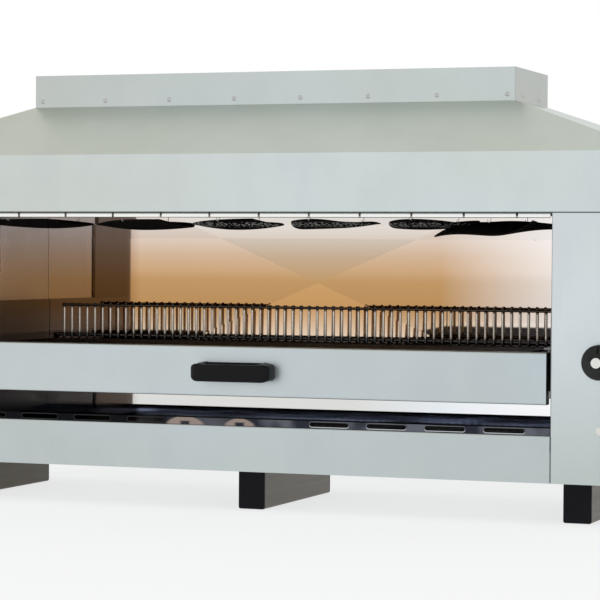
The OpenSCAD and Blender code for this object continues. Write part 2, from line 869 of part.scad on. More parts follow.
// Section of the pipe, swept along the run, the bend and the rise
module pipe_sweep(d, extra) {
    bar_y(d, pipe_y + pipe_bend, back_y - 12 + extra, control_x, pipe_z);
    translate([control_x, pipe_y + pipe_bend, pipe_z + pipe_bend]) rotate([0, 90, 0])
        rotate_extrude(angle = -90) translate([pipe_bend, 0]) circle(d = d);
    translate([control_x, pipe_y, pipe_z + pipe_bend])
        cylinder(d = d, h = valve_low - pipe_z - pipe_bend + extra);
}

module supply_pipe() {
    color("peru") difference() {
        pipe_sweep(pipe_d, 0);
        pipe_sweep(pipe_d - 2 * pipe_wall, 1);
    }
}

// Bulkhead socket for the gas supply on the back
module gas_inlet() {
    body_l = inlet_depth + 6;
    color("goldenrod") translate([control_x, back_y, pipe_z]) rotate([-90, 0, 0]) difference() {
        union() {
            cylinder(d = inlet_bore_d + 14, h = body_l, $fn = 6);
            translate([0, 0, -12]) cylinder(d = pipe_d, h = 13);
            translate([0, 0, -sheet - 6]) cylinder(d = pipe_d + 12, h = 6, $fn = 6);
        }
        translate([0, 0, 6]) cylinder(d = inlet_bore_d, h = inlet_depth + 1);
        translate([0, 0, -13]) cylinder(d = pipe_d - 2 * pipe_wall, h = 20);
    }
}

// Body of the gas tap; its outlet rises to the manifold
module gas_valve() {
    w = valve_w / 2;
    passage = 8;
    color("goldenrod") difference() {
        block([control_x - w, valve_front, valve_low], [control_x + w, valve_back, valve_low + valve_h]);
        bar_y(plug_d + 2 * run_clear, chamber_front, chamber_back, control_x, knob_z);
        bar_y(spindle_d + 1, valve_front - 1, chamber_front + 1, control_x, knob_z);
        translate([control_x, pipe_y, valve_low - 1]) cylinder(d = passage, h = valve_h + 2);
    }
}

// Rotor of the tap; its port lies crosswise while the tap is shut
module tap_plug() {
    play = 0.2;
    bore_end = chamber_front + 14 + knob_push + 1.5;
    color("khaki") difference() {
        bar_y(plug_d, chamber_front + play, chamber_back - play, control_x, knob_z);
        bar_y(spindle_d + 2 * run_clear, chamber_front, bore_end, control_x, knob_z);
        translate([control_x - plug_d, pipe_y, knob_z]) rotate([0, 90, 0]) cylinder(d = 5, h = 2 * plug_d);
    }
}

module valve_spindle() {
    color("silver") bar_y(spindle_d, knob_back - knob_h * 0.6, chamber_front + 14, control_x, knob_z);
}

// Round knob with a stepped, sloping face and a pointer groove
module knob() {
    r = knob_d / 2;
    cap_r = knob_cap_d / 2 + 0.1;
    hub = cap_r + 2;
    h = knob_h;
    bore = spindle_d / 2 + 0.05;
    color([0.1, 0.1, 0.1]) translate([control_x, knob_back, knob_z]) rotate([90, 0, 0]) difference() {
        rotate_extrude($fn = 96) polygon([
            [bore, 0], [r - 3, 0], [r, 2], [r, h * 0.34], [r - 1.5, h * 0.42], [hub + 4, h * 0.7],
            [hub + 0.8, h * 0.84], [hub, h - 0.8], [hub - 0.8, h], [cap_r, h], [cap_r, h - 2],
            [0, h - 2], [0, h * 0.62], [bore, h * 0.62]
        ]);
        translate([0, 0, h * 0.36]) block([-0.8, hub + 3, 0], [0.8, r + 1, h]);
    }
}

module knob_cap() {
    color("gainsboro") translate([control_x, knob_back - knob_h, knob_z]) rotate([90, 0, 0]) {
        translate([0, 0, -2]) cylinder(d = knob_cap_d, h = 2);
        intersection() {
            translate([0, 0, 0.8 - knob_cap_d]) sphere(d = 2 * knob_cap_d, $fn = 96);
            cylinder(d = knob_cap_d, h = 2);
        }
    }
}

// Angle bracket that carries the tap, screwed to the column's face
module valve_bracket() {
    w = valve_w / 2 - 2;
    color("lightgray") difference() {
        union() {
            block([control_x - w, valve_front, screw_z - 14], [control_x + w, valve_front + shelf_t, valve_low]);
            block([control_x - w, valve_front, valve_low - shelf_t], [control_x + w, valve_back, valve_low]);
        }
        translate([control_x, pipe_y, valve_low - 5]) cylinder(d = pipe_d + 1, h = 10);
        bar_y(5.2, valve_front - 1, valve_front + 5, control_x, screw_z);
    }
}

// Slotted screw with a domed head
module panel_screw() {
    d = screw_head_d;
    color("silver") translate([control_x, front_y, screw_z]) rotate([90, 0, 0]) difference() {
        union() {
            intersection() {
                translate([0, 0, 3 - d * 0.8]) sphere(r = d * 0.8);
                cylinder(d = d, h = 4);
            }
            translate([0, 0, -8]) cylinder(d = 5, h = 8.5);
        }
        block([-d / 3, -0.8, 1.6], [d / 3, 0.8, 4]);
    }
}

// ---- Runners ----

// Box tube along Y, closed by caps at both ends
module runner(x) {
    half = runner_l / 2 - cap_t;
    color("rosybrown") difference() {
        along_y(-half, half) translate([x, runner_h / 2]) difference() {
            round_rect(runner_w, runner_h, 3);
            square([runner_w - 2 * runner_wall, runner_h - 2 * runner_wall], center = true);
        }
        bolt_places() cylinder(d = bolt_d + 0.4, h = 3 * runner_wall, center = true);
    }
}

module runner_caps(x) {
    w = runner_w - 2 * runner_wall - 0.4;
    h = runner_h - 2 * runner_wall - 0.4;
    end = runner_l / 2;
    color([0.1, 0.1, 0.1]) translate([x, 0, runner_h / 2]) for (s = [0, 1]) mirror([0, s, 0]) {
        along_y(-end, cap_t - end) round_rect(runner_w, runner_h, 3);
        along_y(cap_t - end - eps, cap_t + cap_plug - end) difference() {
            square([w, h], center = true);
            square([w - 5, h - 5], center = true);
        }
    }
}

module left_runner() { runner(-runner_x); }
module middle_runner() { runner(0); }
module right_runner() { runner(runner_x); }
module left_runner_caps() { runner_caps(-runner_x); }
module middle_runner_caps() { runner_caps(0); }
module right_runner_caps() { runner_caps(runner_x); }

// Bolts and nuts that hold the base pan on the runners
module runner_bolts() {
    flats = 1.5 * bolt_d;
    nut_h = 0.8 * bolt_d;
    color("darkgray") bolt_places() {
        translate([0, 0, sheet]) cylinder(d = flats * 1.155, h = 0.65 * bolt_d, $fn = 6);
        translate([0, 0, -runner_wall - nut_h - 2]) cylinder(d = bolt_d, h = sheet + runner_wall + nut_h + 3);
        translate([0, 0, -runner_wall - nut_h]) difference() {
            cylinder(d = flats * 1.155, h = nut_h, $fn = 6);
            translate([0, 0, -1]) cylinder(d = bolt_d + 0.1, h = nut_h + 2);
        }
    }
}

base_pan();
left_casing();
right_casing();
back_casing();
lower_front_panel();
hood();
duct_collar();
collar_rivets();
left_liner();
right_liner();
back_liner();
rear_insulation();
floor_plate();
front_deflector();
front_burner_rail();
rear_burner_rail();
burner(1);  // burner_1
burner(2);  // burner_2
burner(3);  // burner_3
burner(4);  // burner_4
burner(5);  // burner_5
burner(6);  // burner_6
tile(1);  // tile_1
tile(2);  // tile_2
tile(3);  // tile_3
tile(4);  // tile_4
tile(5);  // tile_5
tile(6);  // tile_6
screen(1);  // screen_1
screen(2);  // screen_2
screen(3);  // screen_3
screen(4);  // screen_4
screen(5);  // screen_5
screen(6);  // screen_6
gas_manifold();
injectors();
riser_pipe();
gas_valve();
tap_plug();
valve_spindle();
knob();
knob_cap();
valve_bracket();
panel_screw();
supply_pipe();
gas_inlet();
drawer_front();
drawer_frame();
drawer_handle();
handle_screws();
rack_grid();
left_guide();
right_guide();
left_runner();
middle_runner();
right_runner();
left_runner_caps();
middle_runner_caps();
right_runner_caps();
runner_bolts();
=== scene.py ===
import math
import bmesh
import bpy
from mathutils import Matrix, Vector


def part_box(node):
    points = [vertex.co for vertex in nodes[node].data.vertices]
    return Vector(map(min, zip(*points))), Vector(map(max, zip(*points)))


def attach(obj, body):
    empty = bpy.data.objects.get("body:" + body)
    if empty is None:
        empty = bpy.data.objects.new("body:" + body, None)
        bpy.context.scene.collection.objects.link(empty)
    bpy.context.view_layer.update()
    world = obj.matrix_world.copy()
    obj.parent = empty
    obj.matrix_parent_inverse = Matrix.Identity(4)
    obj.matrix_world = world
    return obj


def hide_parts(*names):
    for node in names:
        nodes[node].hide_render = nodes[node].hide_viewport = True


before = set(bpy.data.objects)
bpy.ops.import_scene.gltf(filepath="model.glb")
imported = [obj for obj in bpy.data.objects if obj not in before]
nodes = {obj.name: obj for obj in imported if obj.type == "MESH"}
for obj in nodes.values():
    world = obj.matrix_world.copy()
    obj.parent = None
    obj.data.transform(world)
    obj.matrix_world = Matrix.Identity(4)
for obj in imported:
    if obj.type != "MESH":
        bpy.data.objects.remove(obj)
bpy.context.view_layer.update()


# ---- Camera ----
# A long lens, a little right of the middle and level with the burners, looks
# slightly left and down along the open front, as in the photograph.
camera_place = (1.31704, -3.5069, 0.36874)
look_left = math.radians(20.29)
look_down = math.radians(1.02)
roll = math.radians(0.40)
camera_data = bpy.data.cameras.new("camera")
camera_data.lens = 149.33
camera_data.sensor_width = 36.0
camera_data.clip_end = 200.0
camera = bpy.data.objects.new("camera", camera_data)
camera.matrix_world = (
    Matrix.Translation(camera_place)
    @ Matrix.Rotation(look_left, 4, "Z")
    @ Matrix.Rotation(math.pi / 2 - look_down, 4, "X")
    @ Matrix.Rotation(roll, 4, "Z")
)
bpy.context.scene.collection.objects.link(camera)
bpy.context.scene.camera = camera
bpy.context.scene.view_settings.view_transform = "Standard"


# ---- Studio ----
# A white room with a pale floor. Two broad soft lamps stand in front, and the
# room above is a little dimmer, so that sloping metal reads darker than upright metal.
def lamp(name, place, target, size, power):
    data = bpy.data.lights.new(name, "AREA")
    data.shape = "RECTANGLE"
    data.size, data.size_y = size
    data.energy = power
    light = bpy.data.objects.new(name, data)
    light.location = place
    light.rotation_euler = (Vector(target) - Vector(place)).to_track_quat("-Z", "Y").to_euler()
    bpy.context.scene.collection.objects.link(light)
    light.visible_glossy = False


def add_node(tree, kind):
    return tree.nodes.new("ShaderNode" + kind)


def feed(tree, value, socket):
    """Links a value to a socket, or sets the socket to a plain number or colour."""
    if isinstance(value, bpy.types.NodeSocket):
        tree.links.new(value, socket)
    elif socket.type == "RGBA":
        socket.default_value = (*value, 1)
    else:
        socket.default_value = value


def work(tree, operation, a, b=0.0):
    node = add_node(tree, "Math")
    node.operation = operation
    feed(tree, a, node.inputs[0])
    feed(tree, b, node.inputs[1])
    return node.outputs[0]


def places(tree, kind="Object"):
    split = add_node(tree, "SeparateXYZ")
    feed(tree, add_node(tree, "TexCoord").outputs[kind], split.inputs[0])
    return split.outputs


def spread(tree, value, low, high, start=0.3, end=0.7):
    """Runs from low to high while the value runs from start to end."""
    part = add_node(tree, "MapRange")
    part.inputs["From Min"].default_value = start
    part.inputs["From Max"].default_value = end
    part.inputs["To Min"].default_value = low
    part.inputs["To Max"].default_value = high
    feed(tree, value, part.inputs["Value"])
    return part.outputs[0]


def blend_colours(tree, share, a, b, mode="MIX"):
    mix = add_node(tree, "Mix")
    mix.data_type = "RGBA"
    mix.blend_type = mode
    for value, socket in ((share, mix.inputs[0]), (a, mix.inputs[6]), (b, mix.inputs[7])):
        feed(tree, value, socket)
    return mix.outputs[2]


def blend_shaders(tree, share, a, b):
    mix = add_node(tree, "MixShader")
    for value, socket in zip((share, a, b), mix.inputs):
        feed(tree, value, socket)
    return mix.outputs[0]


def glow(tree, kind, colour, strength=1.0):
    shine = add_node(tree, kind)
    feed(tree, colour, shine.inputs["Color"])
    shine.inputs["Strength"].default_value = strength
    return shine.outputs[0]


def piece_from(name, bm, finish):
    """Makes a finished bmesh an object of the scene, in one finish."""
    mesh = bpy.data.meshes.new(name)
    bm.to_mesh(mesh)
    bm.free()
    mesh.materials.append(finish)
    piece = bpy.data.objects.new(name, mesh)
    bpy.context.scene.collection.objects.link(piece)
    return piece


lamp("front_lamp", (-1.6, -3.2, 2.6), (0.0, 0.0, 0.3), (2.6, 1.8), 40)
lamp("side_lamp", (3.2, -2.0, 1.6), (0.2, 0.0, 0.3), (1.8, 1.8), 22)

world = bpy.data.worlds.new("room")
bpy.context.scene.world = world
world.use_nodes = True
tree = world.node_tree
tree.nodes.clear()
upwards = spread(tree, places(tree, "Generated")["Z"], 0, 1, 0.12, 0.85)
walls = glow(tree, "Background", blend_colours(tree, upwards, (1, 1, 1), (0.78, 0.76, 0.68)))
fill = glow(tree, "Background", (0.95, 0.98, 1.0), 0.62)
white = glow(tree, "Background", (1, 1, 1))
ray = add_node(tree, "LightPath").outputs
in_metal = work(tree, "MAXIMUM", ray["Is Glossy Ray"], ray["Is Transmission Ray"])
room = blend_shaders(tree, ray["Is Camera Ray"], blend_shaders(tree, in_metal, fill, walls), white)
feed(tree, room, add_node(tree, "OutputWorld").inputs["Surface"])

floor_paint = bpy.data.materials.new("floor_paint")
floor_paint.use_nodes = True
tree = floor_paint.node_tree
tree.nodes.clear()
matt = add_node(tree, "BsdfDiffuse")
matt.inputs["Color"].default_value = (0.9, 0.9, 0.9, 1)
ray = add_node(tree, "LightPath").outputs
seen = work(tree, "MAXIMUM", ray["Is Camera Ray"], ray["Is Glossy Ray"])
white_share = 0.72
paint = blend_shaders(
    tree, work(tree, "MULTIPLY", seen, white_share), matt.outputs[0], glow(tree, "Emission", (1, 1, 1)),
)
feed(tree, paint, add_node(tree, "OutputMaterial").inputs["Surface"])
bm = bmesh.new()
bmesh.ops.create_grid(bm, x_segments=1, y_segments=1, size=40.0)
bmesh.ops.translate(bm, verts=bm.verts[:], vec=(0, 0, -0.0005))
piece_from("floor", bm, floor_paint)


# ---- Casing sheets ----
# The hood, the side columns, the back and the lower panel are folded from 1.5 mm
# satin stainless sheet. Its fine grain runs along the sheet, with faint broad clouds.
def shader_of(finish):
    return finish.node_tree.nodes["Principled BSDF"]


def new_finish(name):
    finish = bpy.data.materials.new(name)
    finish.use_nodes = True
    return finish, finish.node_tree, shader_of(finish)


def noise_on(tree, scale, stretch=(1, 1, 1), detail=3.0, roughness=0.5):
    mapping = add_node(tree, "Mapping")
    mapping.inputs["Scale"].default_value = stretch
    feed(tree, add_node(tree, "TexCoord").outputs["Object"], mapping.inputs[0])
    noise = add_node(tree, "TexNoise")
    noise.inputs["Scale"].default_value = scale
    noise.inputs["Detail"].default_value = detail
    noise.inputs["Roughness"].default_value = roughness
    feed(tree, mapping.outputs[0], noise.inputs["Vector"])
    return noise.outputs["Fac"]


def raise_by(tree, shader, value, distance, strength=0.4):
    bump = add_node(tree, "Bump")
    bump.inputs["Strength"].default_value = strength
    bump.inputs["Distance"].default_value = distance
    feed(tree, value, bump.inputs["Height"])
    feed(tree, bump.outputs[0], shader.inputs["Normal"])


def satin_steel(name, colour, roughness, grain=(2, 500, 500), cloud=(0.5, 0.5, 0.9), fade=()):
    """Brushed metal; each fade is an axis, where it starts and ends, and its far colour."""
    finish, tree, shader = new_finish(name)
    shader.inputs["Metallic"].default_value = 1.0
    lines = noise_on(tree, 1.0, grain, detail=5.0, roughness=0.65)
    clouds = noise_on(tree, 5.0, cloud, detail=2.0)
    warm = tuple(c * f for c, f in zip(colour, (0.985, 0.965, 0.925)))
    tone = blend_colours(tree, spread(tree, clouds, 0, 1, 0.35, 0.65), colour, warm)
    smudge = noise_on(tree, 14.0, (1, 1, 0.6), detail=4.0, roughness=0.6)
    soft = blend_colours(tree, spread(tree, smudge, 0, 1, 0.25, 0.6), (0.95, 0.95, 0.96), (1, 1, 1))
    tone = blend_colours(tree, 1.0, tone, soft, "MULTIPLY")
    fine = blend_colours(tree, spread(tree, lines, 0, 1), (0.975, 0.975, 0.975), (1, 1, 1))
    tone = blend_colours(tree, 1.0, tone, fine, "MULTIPLY")
    for axis, start, end, far in fade:
        along = spread(tree, places(tree)[axis], 0, 1, start, end)
        tone = blend_colours(tree, 1.0, tone, blend_colours(tree, along, (1, 1, 1), far), "MULTIPLY")
    feed(tree, tone, shader.inputs["Base Color"])
    feed(tree, spread(tree, lines, roughness - 0.05, roughness + 0.05), shader.inputs["Roughness"])
    raise_by(tree, shader, lines, 0.0002, 0.1)
    return finish


def dress(finish, *names):
    for name in names:
        for part in nodes[name].material_slots:
            part.material = finish


sheet_colour = (0.675, 0.75, 0.765)
warmer_left = ("X", 0.1, -0.6, (0.95, 0.91, 0.86))
hem_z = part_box("hood")[0].z
casing_steel = satin_steel("casing_steel", sheet_colour, 0.36, fade=(warmer_left,))
dress(casing_steel, "back_casing")
# The hood's lowest 2 mm are painted dark: painted shade along its lower edge and the seam over the columns.
painted_hem_shade = ("Z", hem_z + 0.0018, hem_z + 0.0008, (0.38, 0.40, 0.40))
hood_steel = satin_steel("hood_steel", sheet_colour, 0.36, fade=(painted_hem_shade, warmer_left))
dress(hood_steel, "hood")
darker_right = ("X", 0.0, 0.46, (0.95, 0.95, 0.95))
panel_steel = satin_steel("panel_steel", (0.58, 0.652, 0.68), 0.36, fade=(warmer_left, darker_right))
dress(panel_steel, "lower_front_panel", "base_pan")

collar_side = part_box("duct_collar")[1].x
# The collar is warmer to the left, and its right side is painted darker, painted shade.
collar_fade = (
    ("X", 0.1, -0.38, (0.95, 0.92, 0.89)),
    ("X", collar_side - 0.0015, collar_side - 0.0005, (0.77, 0.74, 0.71)),
)
collar_steel = satin_steel("collar_steel", (0.61, 0.68, 0.69), 0.36, fade=collar_fade)
dress(collar_steel, "duct_collar")
rivet_metal = satin_steel("rivet_metal", (0.55, 0.56, 0.58), 0.3, grain=(40, 40, 40))
dress(rivet_metal, "collar_rivets")

# The columns' grain stands upright. Their fronts are painted darker towards the bottom, painted shade. Their
# faces inside the cavity are painted dark brown, darkest at the bottom: partly heat tint and partly painted
# shade of the closed cavity.
column_steel = satin_steel(
    "column_steel", (0.70, 0.76, 0.79), 0.36, grain=(500, 500, 2),
    fade=(("Z", 0.28, 0.07, (0.80, 0.84, 0.82)),),
)
tree, shader = column_steel.node_tree, shader_of(column_steel)
inner_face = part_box("right_casing")[0].x
from_middle = work(tree, "ABSOLUTE", places(tree)["X"])
inside = spread(tree, from_middle, 1, 0, inner_face + 0.0002, inner_face + 0.0012)
downwards = spread(tree, places(tree)["Z"], 0, 1, 0.42, 0.14)
cavity_tint_and_shade = blend_colours(tree, downwards, (0.22, 0.20, 0.19), (0.12, 0.09, 0.075))
plain = shader.inputs["Base Color"].links[0].from_socket
feed(tree, blend_colours(tree, inside, plain, cavity_tint_and_shade), shader.inputs["Base Color"])
dress(column_steel, "left_casing", "right_casing")


# ---- Cavity liners ----
# The rear liner is a bright annealed sheet with an X-shaped cross-break; the heat of the
# burners has tinted it from straw to tan. The side liners are plain folded sheet.
liner_steel, tree, shader = new_finish("mirror_liner")
shader.inputs["Metallic"].default_value = 1.0
shader.inputs["Roughness"].default_value = 0.035
spot = places(tree)
tint_low, tint_high = 0.12, 0.52
tint = add_node(tree, "ValToRGB")
stops = tint.color_ramp.elements
stops[0].color = (0.79, 0.84, 0.89, 1)
stops[1].color = (0.90, 0.89, 0.88, 1)
for at, colour in (
    (0.16, (0.82, 0.84, 0.86)), (0.30, (0.78, 0.62, 0.47)), (0.42, (0.56, 0.31, 0.12)),
    (0.52, (0.60, 0.35, 0.147)), (0.62, (0.65, 0.46, 0.31)), (0.73, (0.785, 0.69, 0.625)),
):
    stops.new(at).color = (*colour, 1)
feed(tree, spread(tree, spot["Z"], 0, 1, tint_low, tint_high), tint.inputs[0])

# The upper leaf of the cross-break lies above both of its diagonals; it is tinted slightly cooler and
# lighter, a painted reflection of the room in that leaf.
liner_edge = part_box("back_liner")[1]
half_break = 0.196
side = work(tree, "ABSOLUTE", spot["X"])
diagonal = work(tree, "MULTIPLY", side, half_break / liner_edge.x)
above = work(tree, "SUBTRACT", work(tree, "SUBTRACT", spot["Z"], liner_edge.z - half_break), diagonal)
upper_leaf = spread(tree, above, 0, 1, -0.004, 0.004)
tone = blend_colours(tree, upper_leaf, tint.outputs[0], (1.0, 1.05, 1.07), "MULTIPLY")

# It is paler on the right. On the left it is painted darker and browner, painted shade in the reflection of
# the side wall, and low down towards the left, below the drawer, it is painted darker and warmer, painted
# shade under the drawer.
pale = spread(tree, spot["X"], 0, 1, 0.20, 0.46)
tone = blend_colours(tree, pale, tone, (1.0, 0.98, 0.98))
left_reflection_shade = spread(tree, spot["X"], 0, 1, -0.300, -0.325)
tone = blend_colours(tree, left_reflection_shade, tone, (0.74, 0.66, 0.62), "MULTIPLY")
# Painted shade under the drawer: the low left of the liner is darkened and warmed.
low_shade_mask = work(
    tree, "MULTIPLY",
    spread(tree, spot["Z"], 1, 0, 0.19, 0.21),
    spread(tree, spot["X"], 1, 0, 0.06, 0.22),
)
low_shade_tone = blend_colours(tree, 1.0, tone, (0.89, 0.855, 0.79), "MULTIPLY")
feed(tree, blend_colours(tree, low_shade_mask, tone, low_shade_tone), shader.inputs["Base Color"])

# It bulges on the right, and its lower and upper edges curl a little towards the front
curl = work(
    tree, "MULTIPLY",
    spread(tree, spot["X"], 0, 1, 0.14, 0.21),
    spread(tree, spot["Z"], 0, 1.6, 0.20, 0.27),
)
for at_start, at_end, start, end in ((1.2, 0, 0.120, 0.172), (0, 2.4, 0.395, 0.440), (0, 3.2, 0.417, 0.440)):
    curl = work(tree, "ADD", curl, spread(tree, spot["Z"], at_start, at_end, start, end))
dents = work(tree, "MULTIPLY", noise_on(tree, 3.0, (1, 1, 1.5), detail=1.0), 0.06)
raise_by(tree, shader, work(tree, "ADD", curl, dents), 0.001, 1.0)
dress(liner_steel, "back_liner")

# The side liners turn warmer lower down, a heat tint, and near the bottom they are painted almost black,
# painted shade low in the cavity.
side_steel = satin_steel(
    "side_liner_steel", (0.66, 0.72, 0.80), 0.30, grain=(18, 18, 5),
    fade=(("Z", 0.42, 0.22, (0.92, 0.84, 0.78)), ("Z", 0.19, 0.165, (0.12, 0.12, 0.13))),
)
shader_of(side_steel).inputs["Metallic"].default_value = 0.85
dress(side_steel, "left_liner", "right_liner")
wool, tree, shader = new_finish("mineral_wool")
shader.inputs["Base Color"].default_value = (0.55, 0.50, 0.38, 1)
shader.inputs["Roughness"].default_value = 0.95
raise_by(tree, shader, noise_on(tree, 300.0), 0.002, 0.8)
dress(wool, "rear_insulation")


# ---- Floor plate ----
# A plate of steel that the heat has turned dark blue. Its front part, deep under the drawer's frame, is
# painted black, painted shade, so that the slots look black. It lies wavy over the base, and its front lip
# stands up behind the lower panel, with pressed rims round the slots.
floor_steel, tree, shader = new_finish("blued_steel")
shader.inputs["Metallic"].default_value = 1.0
spot = places(tree)
blotch = noise_on(tree, 16.0, (1, 2.5, 1), detail=3.0)
tone = blend_colours(tree, spread(tree, blotch, 0, 1, 0.35, 0.7), (0.30, 0.36, 0.58), (0.44, 0.50, 0.74))
painted_front_shade = spread(tree, spot["Y"], 1, 0, 0.034, 0.044)
tone = blend_colours(tree, painted_front_shade, tone, (0.012, 0.013, 0.018))

# The lip is patchy, and nearly black on the left
lip_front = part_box("floor_plate")[0].y
panel_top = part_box("lower_front_panel")[1].z
patches = spread(tree, noise_on(tree, 21.0, (1, 1, 0.6), detail=1.5), 0, 1, 0.44, 0.60)
lip_tone = blend_colours(tree, patches, (0.028, 0.030, 0.042), (0.125, 0.13, 0.155))
lip_black_left = spread(tree, spot["X"], 0, 1, 0.02, -0.16)
lip_tone = blend_colours(tree, lip_black_left, lip_tone, (0.009, 0.009, 0.011))

# Two worn patches, rounded at the top, each with a dark spot low in the middle
up = work(tree, "MAXIMUM", work(tree, "SUBTRACT", spot["Z"], panel_top), 0.0)
rounding = work(tree, "MULTIPLY", work(tree, "POWER", up, 2.0), 150.0)
for centre, half in ((-0.0795, 0.0313), (0.0050, 0.0254)):
    off = work(tree, "ABSOLUTE", work(tree, "SUBTRACT", spot["X"], centre))
    worn = spread(tree, work(tree, "ADD", off, rounding), 1, 0, half - 0.006, half)
    beside_spot = work(
        tree, "MAXIMUM",
        spread(tree, off, 0, 1, 0.005, 0.009),
        spread(tree, up, 0, 1, 0.004, 0.0055),
    )
    worn = work(tree, "MULTIPLY", worn, beside_spot)
    lip_tone = blend_colours(tree, worn, lip_tone, (0.30, 0.24, 0.21))
lip = spread(tree, spot["Y"], 1, 0, lip_front + 0.0013, lip_front + 0.0033)
tone = blend_colours(tree, lip, tone, lip_tone)

# The rims are bare steel, painted bright at their foot on the right, a painted highlight, and darker on the
# left
rim_highlight_mask = spread(tree, spot["Z"], 1, 0, panel_top + 0.0025, panel_top + 0.0050)
rim_tone = blend_colours(tree, rim_highlight_mask, (0.13, 0.135, 0.15), (0.52, 0.54, 0.57))
rims_right = spread(tree, spot["X"], 0, 1, 0.05, 0.12)
rim_tone = blend_colours(tree, rims_right, (0.035, 0.035, 0.038), rim_tone)
rim = spread(tree, spot["Y"], 1, 0, lip_front + 0.0002, lip_front + 0.0006)
feed(tree, blend_colours(tree, rim, tone, rim_tone), shader.inputs["Base Color"])
# The edge tint is navy, and black under the painted shade, so that no reflection shows there.
edge_tint = blend_colours(tree, painted_front_shade, (0.45, 0.50, 0.66), (0.03, 0.03, 0.03))
feed(tree, edge_tint, shader.inputs["Specular Tint"])
feed(tree, spread(tree, blotch, 0.07, 0.14), shader.inputs["Roughness"])
raise_by(tree, shader, noise_on(tree, 9.0, (1, 1.6, 0.2), detail=0.5), 0.0011, 1.0)
dress(floor_steel, "floor_plate")


# ---- Deflector, burner rails and burners ----
# A bright strip of cut-out steel hides the burners' front edges. Behind it six pressed
# steel burners hang on two channels, each with a ceramic tile in its mouth.
strip_steel, tree, shader = new_finish("strip_steel")
shader.inputs["Metallic"].default_value = 1.0
spot = places(tree)
slot_pitch, slot_at = 0.0761, 0.0293
strip_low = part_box("front_deflector")[0].z
from_slot = work(tree, "PINGPONG", work(tree, "SUBTRACT", spot["X"], slot_at), slot_pitch / 2)
# The slots and the strip's lower edge are painted black, painted shade in the cut-outs and under the edge.
slot_shade = work(
    tree, "MAXIMUM",
    spread(tree, from_slot, 1, 0, 0.0013, 0.0018),
    spread(tree, spot["Z"], 1, 0, strip_low + 0.0005, strip_low + 0.0011),
)
feed(tree, blend_colours(tree, slot_shade, (0.94, 0.94, 0.91), (0.03, 0.03, 0.03)), shader.inputs["Base Color"])
lines = noise_on(tree, 1.0, (2, 400, 400), detail=4.0)
feed(tree, spread(tree, lines, 0.22, 0.32), shader.inputs["Roughness"])
raise_by(tree, shader, lines, 0.0002, 0.1)
dress(strip_steel, "front_deflector")
burner_steel = satin_steel("burner_steel", (0.62, 0.61, 0.60), 0.42, grain=(60, 60, 60))
dress(burner_steel, "front_burner_rail", "rear_burner_rail", *("burner_%d" % i for i in range(1, 7)))
ceramic, tree, shader = new_finish("ceramic")
shader.inputs["Roughness"].default_value = 0.9
pores = add_node(tree, "TexVoronoi")
pores.inputs["Scale"].default_value = 420.0
feed(tree, add_node(tree, "TexCoord").outputs["Object"], pores.inputs["Vector"])
solid = spread(tree, pores.outputs["Distance"], 0, 1, 0.15, 0.35)
feed(tree, blend_colours(tree, solid, (0.25, 0.18, 0.12), (0.74, 0.63, 0.48)), shader.inputs["Base Color"])
raise_by(tree, shader, solid, 0.001, 0.6)
dress(ceramic, *("tile_%d" % i for i in range(1, 7)))


# ---- Burner screens ----
# Under each burner hangs a loose screen of expanded metal, burnt black and warped by the
# flames: most bow down like a lens, and the right one has dropped at its front corner.
scale_black, tree, shader = new_finish("scale_black")
flakes = noise_on(tree, 220.0, detail=4.0)
burnt = blend_colours(tree, flakes, (0.003, 0.003, 0.003), (0.016, 0.013, 0.012))
feed(tree, burnt, shader.inputs["Base Color"])
shader.inputs["Specular IOR Level"].default_value = 0.12
feed(tree, spread(tree, flakes, 0.55, 0.8), shader.inputs["Roughness"])
raise_by(tree, shader, flakes, 0.0004, 0.5)
# The pale specks in a band across these nets are painted light, the light that shows through the mesh.
light_specked_net, tree, shader = new_finish("light_specked_net")
spot = places(tree)
light_specks = noise_on(tree, 210.0, (1.35, 0.8, 0.6), detail=0.0)
band = work(
    tree, "MULTIPLY",
    spread(tree, spot["Z"], 0, 1, hem_z - 0.0200, hem_z - 0.0175),
    spread(tree, spot["Z"], 1, 0, hem_z - 0.0140, hem_z - 0.0120),
)
light_specks = work(tree, "MULTIPLY", spread(tree, light_specks, 0, 1, 0.50, 0.60), band)
specked_tone = blend_colours(tree, light_specks, (0.006, 0.006, 0.006), (0.50, 0.49, 0.47))
feed(tree, specked_tone, shader.inputs["Base Color"])
shader.inputs["Specular IOR Level"].default_value = 0.12
shader.inputs["Roughness"].default_value = 0.7
clip_metal = satin_steel("clip_metal", (0.75, 0.74, 0.72), 0.3, grain=(80, 80, 80))

# How the flames have left each screen, from left to right, in millimetres: its half width
# and half depth, its shift to the right, how far its left and right ends hang below the
# hood's hem, how far its middle sags below them, how far its front and back stand above
# them, and its twist. The last two are the shares of the bow left at its left and right ends.
mm = 0.001
screen_shapes = (
    (59.5, 127, -12.0, 8.0, 11.0, 11.5, -0.5, -2.5, 0.80, 0.45),
    (70.0, 90, 9.0, 14.5, 13.0, 9.0, 3.0, -2.0, 0.00, 0.60),
    (64.5, 89, 10.5, 11.5, 10.5, 11.5, 1.0, -2.5, 0.25, 0.45),
    (53.5, 127, 16.5, 17.0, 12.5, 5.0, 5.5, 0.0, 0.90, 0.00),
    (57.5, 123, 18.5, 16.0, 11.0, 7.5, 4.5, 1.5, 0.55, 0.35),
    (70.0, 109, -20.0, 11.0, 21.0, -0.5, 6.5, 0.0, 0.00, 0.95),
)
# Three of them carry pale specks, painted light seen through the net, and on two the scale has thickened the
# strands
specked_screens, coarse_screens, fallen_screen = (3, 4, 5), (2, 6), 6
thin_strand, thick_strand = 0.0014, 0.0024


